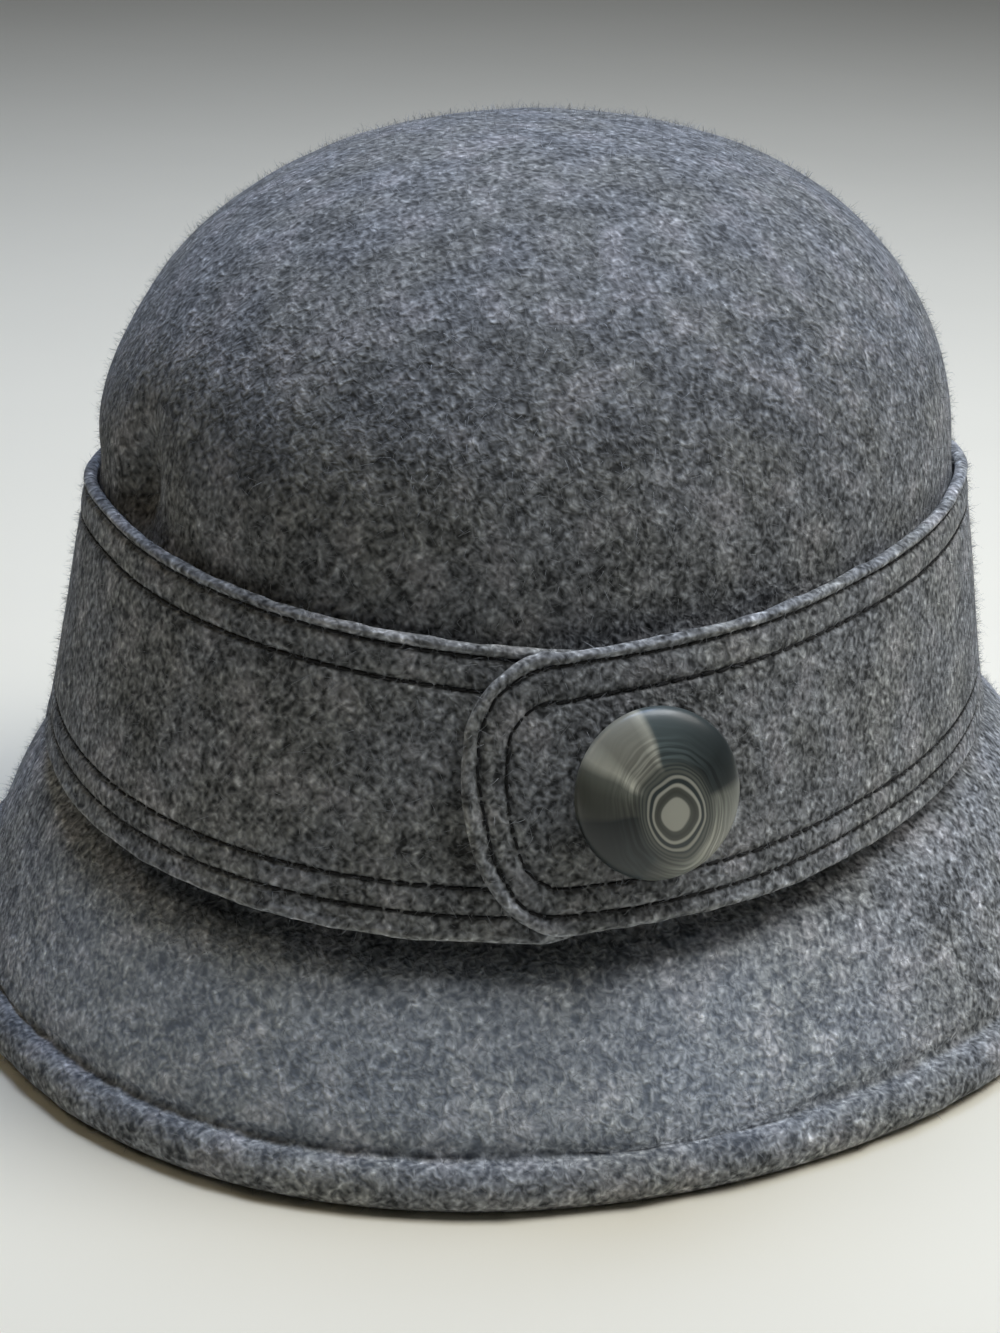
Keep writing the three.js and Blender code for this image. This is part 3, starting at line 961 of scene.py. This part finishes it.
class CLOCHE_OT_topstitching(bpy.types.Operator):
    """Sew the two rows of dark topstitching along the band's edges and round the tab"""

    bl_idname = "cloche.topstitching"
    bl_label = "Topstitching"

    def execute(self, context):
        sewing = context.scene.cloche_sewing
        pattern = self.stitch(sewing)
        thread = thread_material("Dark thread", sewing)
        for name, row in STITCH_ROWS.items():
            places = self.places(stitch_row(*row), sewing)
            finished(copies(name, pattern, places), thread)
        bpy.data.meshes.remove(pattern)
        return {"FINISHED"}

    @staticmethod
    def stitch(sewing):
        """One stitch along X: a short bow of thread whose ends go down into the felt."""
        radius, half, steps = sewing.thickness / 2, sewing.pitch / 2, 6
        piece = new_primitive(
            "stitch", bpy.ops.mesh.primitive_circle_add,
            vertices=6, radius=radius, fill_type="NGON", rotation=(0, math.pi / 2, 0),
            location=(-half, 0, 0),
        )
        bpy.ops.object.transform_apply(location=True, rotation=True, scale=True)
        edit_all()
        for _ in range(steps):
            bpy.ops.mesh.extrude_region_move(
                TRANSFORM_OT_translate={"value": (sewing.pitch / steps, 0, 0)}
            )
        bpy.ops.mesh.select_all(action="SELECT")
        bpy.ops.mesh.normals_make_consistent(inside=False)
        bpy.ops.object.mode_set(mode="OBJECT")
        points = points_of(piece.data)
        share = points[:, 0] / half
        points[:, 1:] *= (1 - 0.3 * share**8)[:, None]
        points[:, 2] += radius * 0.5 - 1.5 * radius * np.abs(share) ** 9
        put_points(piece.data, points)
        return bare_mesh(piece)

    @staticmethod
    def places(line, sewing):
        """Where each stitch lies: end to end along the line, a little aslant, in its groove."""
        chance = np.random.default_rng(11)
        run = run_along(line)
        middles = np.arange(sewing.pitch / 2, run[-1], sewing.pitch)
        flat, ahead, behind = (
            np.stack([np.interp(middles + shift, run, line[:, k]) for k in (0, 1)], -1)
            for shift in (0.0, 0.4 * MM, -0.4 * MM)
        )
        out = np.full(len(flat), 0.1 * MM - sewing.sink)
        place = band_place(flat[:, 0], flat[:, 1], out)
        along = unit(band_place(*ahead.T, out) - band_place(*behind.T, out))
        azimuth = BandLine.azimuth(flat[:, 0])
        up = band_normal(azimuth, 1 - flat[:, 1] / band_height(flat[:, 0]))
        side = unit(np.cross(up, along))
        slant = np.radians(chance.normal(3.0, 2.0, len(flat)))[:, None]
        along, side = (
            along * np.cos(slant) + side * np.sin(slant),
            side * np.cos(slant) - along * np.sin(slant),
        )
        place = place + side * chance.normal(0, 0.05 * MM, len(flat))[:, None]
        return np.stack([along, side, np.cross(along, side), place], -1)


class CLOCHE_OT_button(bpy.types.Operator):
    """Make the domed, marbled button on its shank"""

    bl_idname = "cloche.button"
    bl_label = "Button"

    def execute(self, context):
        looks = context.scene.cloche_button
        radius = looks.radius
        piece = new_primitive(
            "button_disc", bpy.ops.mesh.primitive_circle_add,
            vertices=64, radius=SHANK_RADIUS, fill_type="NGON",
        )
        edit_all()
        for reach, rise in self.profile(radius):
            bpy.ops.mesh.extrude_region_move()
            self.set_ring(piece, reach, rise)
        bpy.ops.mesh.merge(type="CENTER")
        bpy.ops.mesh.select_all(action="SELECT")
        bpy.ops.mesh.remove_doubles(threshold=1e-6)
        bpy.ops.mesh.normals_make_consistent(inside=False)
        bpy.ops.object.mode_set(mode="OBJECT")
        face = points_of(piece.data)[:, :2] / (2 * radius) + 0.5
        fill_map(piece.data, piece.data.uv_layers.new(name="Face"), face)
        piece.data.transform(self.seat())
        smoothed(piece, 40)
        finished(piece, button_material("Marbled resin", looks), ["button"])
        return {"FINISHED"}

    @staticmethod
    def profile(radius):
        """From the shank's top over the rim to the dome's middle: reach and rise."""
        back, edge, rim, dome = SHANK_HEIGHT, 0.6 * MM, 1.6 * MM, 4.2 * MM
        made = [(SHANK_RADIUS, back), (radius - 2 * edge, back)]
        made += [(radius - 0.5 * edge, back + 0.35 * edge), (radius, back + 1.4 * edge)]
        turns = np.linspace(0, math.pi / 2, 22)[:-1]
        made += [(radius * math.cos(t), back + rim + dome * math.sin(t)) for t in turns]
        made += [(radius * 0.02, back + rim + dome)]
        return made

    @staticmethod
    def set_ring(piece, reach, rise):
        """Moves the selected ring to that distance from the middle and that height."""
        rings = bmesh.from_edit_mesh(piece.data)
        chosen = [v for v in rings.verts if v.select]
        for vertex in chosen:
            flat = vertex.co.xy.normalized() * reach
            vertex.co = (flat.x, flat.y, rise)
        bmesh.update_edit_mesh(piece.data)

    @staticmethod
    def seat():
        """The button's place: its face looks along the tab's normal, and its up is the tab's."""
        azimuth = np.array([BandLine.azimuth(BUTTON_FROM_TIP)])
        rise = np.array([BUTTON_RISE])
        normal = band_normal(azimuth, rise)[0]
        seat = band_face(azimuth, rise)[0] + normal * (BAND_LIFT + CLEARANCE)
        up = unit(np.array([0.0, 0.0, 1.0]) - normal * normal[2])
        side = np.cross(up, normal)
        return Matrix(
            [[side[k], up[k], normal[k], seat[k]] for k in range(3)] + [[0, 0, 0, 1]]
        )


# The levels between which loose fibres grow on each piece
NAP_LEVELS = {"crown_felt": (0.088, 1.0), "brim_felt": (-1.0, 0.054), "band_felt": (-1.0, 1.0)}


class CLOCHE_OT_nap(bpy.types.Operator):
    """Raise the loose fibres on the felt's outer faces"""

    bl_idname = "cloche.nap"
    bl_label = "Nap"

    def execute(self, context):
        nap, felt = context.scene.cloche_nap, context.scene.cloche_felt
        material = nap_material("Loose wool", felt)
        pattern = self.fibre(nap)
        for host, name, count, slot in (
            ("crown_felt", "crown_nap", nap.crown_count, "felt"),
            ("brim_felt", "brim_nap", nap.brim_count, "felt"),
            ("band_felt", "band_nap", nap.band_count, "band_felt"),
        ):
            places, shades = self.places(bpy.data.objects[host], count, nap)
            finished(copies(name, pattern, places, shades), material)
        bpy.data.meshes.remove(pattern)
        return {"FINISHED"}

    @staticmethod
    def fibre(nap):
        """One fibre of unit length along X: a flat ribbon in two bent halves."""
        piece = new_primitive(
            "fibre", bpy.ops.mesh.primitive_grid_add, x_subdivisions=2, y_subdivisions=1, size=1.0
        )
        points = points_of(piece.data)
        points[:, 0] += 0.5
        points[:, 1] *= 1.0 - 0.75 * points[:, 0]
        points[:, 2] = 0.25 * np.sin(points[:, 0] * math.pi)
        put_points(piece.data, points)
        return bare_mesh(piece)

    @staticmethod
    def places(host, count, nap):
        """Where each fibre grows: over the outer faces, most of them lying almost flat."""
        chance = np.random.default_rng(len(host.name) * 7 + count)
        mesh = host.data
        mesh.calc_loop_triangles()
        corners = whole_numbers(mesh.loop_triangles, "vertices", 3).reshape(-1, 3)
        points = points_of(mesh)
        a, b, c = (points[corners[:, k]] for k in range(3))
        cross = np.cross(b - a, c - a)
        middle = (a + b + c) / 3
        outward = cross[:, 0] * middle[:, 0] + cross[:, 1] * middle[:, 1] + cross[:, 2] * 0.02
        low, high = NAP_LEVELS[host.name]
        shown = (outward > 0) & (middle[:, 2] > low) & (middle[:, 2] < high)
        area = np.linalg.norm(cross, axis=1) * shown
        picked = chance.choice(len(area), count, p=area / area.sum())
        share = chance.random((count, 2))
        flip = share.sum(1) > 1
        share[flip] = 1 - share[flip]
        place = a[picked] + (b - a)[picked] * share[:, :1] + (c - a)[picked] * share[:, 1:]
        up = unit(cross[picked])
        side = unit(np.cross(up, chance.normal(size=(count, 3))))
        flat = np.cross(side, up)
        tilt = np.radians(np.clip(np.abs(chance.normal(12, 20, count)), 2, 70))[:, None]
        along = flat * np.cos(tilt) + up * np.sin(tilt)
        over = up * np.cos(tilt) - flat * np.sin(tilt)
        length = nap.length * chance.uniform(0.45, 1.55, count)[:, None]
        sunk = place[:, 2] + along[:, 2] * length[:, 0] < 0.3 * MM
        for lines in (along, side, over):
            lines[sunk, 2] *= -1
        side[sunk] *= -1
        bow = length * chance.uniform(-0.2, 1.2, count)[:, None]
        shades = chance.beta(1.5, 1.7, count)
        width = nap.width * (0.6 + 0.9 * shades**3 + 0.3 * chance.random(count))[:, None]
        place = place - up * 0.05 * MM
        return np.stack([along * length, side * width, over * bow, place], -1), shades


class CLOCHE_OT_stage(bpy.types.Operator):
    """Set the plain floor, the soft lights and the camera"""

    bl_idname = "cloche.stage"
    bl_label = "Stage"

    def execute(self, context):
        looks = context.scene.cloche_stage
        floor = new_primitive(
            "floor", bpy.ops.mesh.primitive_plane_add, size=8.0, location=(0, 0, 0)
        )
        floor.data.materials.append(floor_material("Pale floor", looks))
        for name, place, colour in LIGHTS:
            lamp = bpy.data.lights.new(name + "_light", "AREA")
            lamp.shape, lamp.size, lamp.color = "DISK", looks.size, colour
            lamp.energy = getattr(looks, name)
            held = new_object(lamp.name, lamp)
            held.location = place
            aim = Vector(LIGHTS_AIM) - Vector(place)
            held.rotation_euler = aim.to_track_quat("-Z", "Y").to_euler()
        world = bpy.data.worlds.new("Room")
        world.use_nodes = True
        sky = world.node_tree.nodes["Background"]
        sky.inputs["Color"].default_value = (1.0, 0.97, 0.93, 1.0)
        sky.inputs["Strength"].default_value = looks.fill
        context.scene.world = world
        context.scene.view_settings.view_transform = "Standard"
        context.scene.camera = self.camera()
        return {"FINISHED"}

    @staticmethod
    def camera():
        """The photograph's view, from the wearer's left and above."""
        turn, tilt, roll = (math.radians(a) for a in (VIEW_TURN, VIEW_TILT, VIEW_ROLL))
        back = Vector(
            (math.sin(turn) * math.cos(tilt), -math.cos(turn) * math.cos(tilt), math.sin(tilt))
        )
        level = Vector((math.cos(turn), math.sin(turn), 0))
        upward = back.cross(level)
        right = level * math.cos(roll) + upward * math.sin(roll)
        up = upward * math.cos(roll) - level * math.sin(roll)
        lens = bpy.data.cameras.new("view")
        lens.sensor_width, lens.lens, lens.clip_start = VIEW_SENSOR, VIEW_LENS * VIEW_SENSOR, 0.01
        held = new_object("view", lens)
        place = Matrix.Translation(Vector(VIEW_FOCUS) + back * VIEW_DISTANCE)
        held.matrix_world = place @ Matrix((right, up, back)).transposed().to_4x4()
        return held


class CLOCHE_PT_panel(bpy.types.Panel):
    bl_label = "Cloche hat"
    bl_idname = "CLOCHE_PT_panel"
    bl_space_type = "VIEW_3D"
    bl_region_type = "UI"
    bl_category = "Cloche Hat"

    def draw(self, context):
        for name, (kind, *buttons) in GROUPS.items():
            box = self.layout.box()
            for setting in kind.__annotations__:
                box.prop(getattr(context.scene, name), setting)
            for button in buttons:
                box.operator(button.bl_idname)


# Each group of settings by its name in the scene, with the operators that use it
GROUPS = {
    "cloche_felt": (ClocheFelt, CLOCHE_OT_crown, CLOCHE_OT_brim, CLOCHE_OT_band),
    "cloche_sewing": (ClocheSewing, CLOCHE_OT_topstitching),
    "cloche_button": (ClocheButton, CLOCHE_OT_button),
    "cloche_nap": (ClocheNap, CLOCHE_OT_nap),
    "cloche_stage": (ClocheStage, CLOCHE_OT_stage),
}
CLASSES = [kind for kinds in GROUPS.values() for kind in kinds] + [CLOCHE_PT_panel]


def register():
    for kind in CLASSES:
        bpy.utils.register_class(kind)
    for name, (kind, *_) in GROUPS.items():
        setattr(bpy.types.Scene, name, PointerProperty(type=kind))


def unregister():
    for name in GROUPS:
        delattr(bpy.types.Scene, name)
    for kind in reversed(CLASSES):
        bpy.utils.unregister_class(kind)


def main():
    register()
    bpy.ops.cloche.stage()
    bpy.ops.cloche.crown()
    bpy.ops.cloche.brim()
    bpy.ops.cloche.band()
    bpy.ops.cloche.topstitching()
    bpy.ops.cloche.button()
    bpy.ops.cloche.nap()


if __name__ == "__main__":
    main()
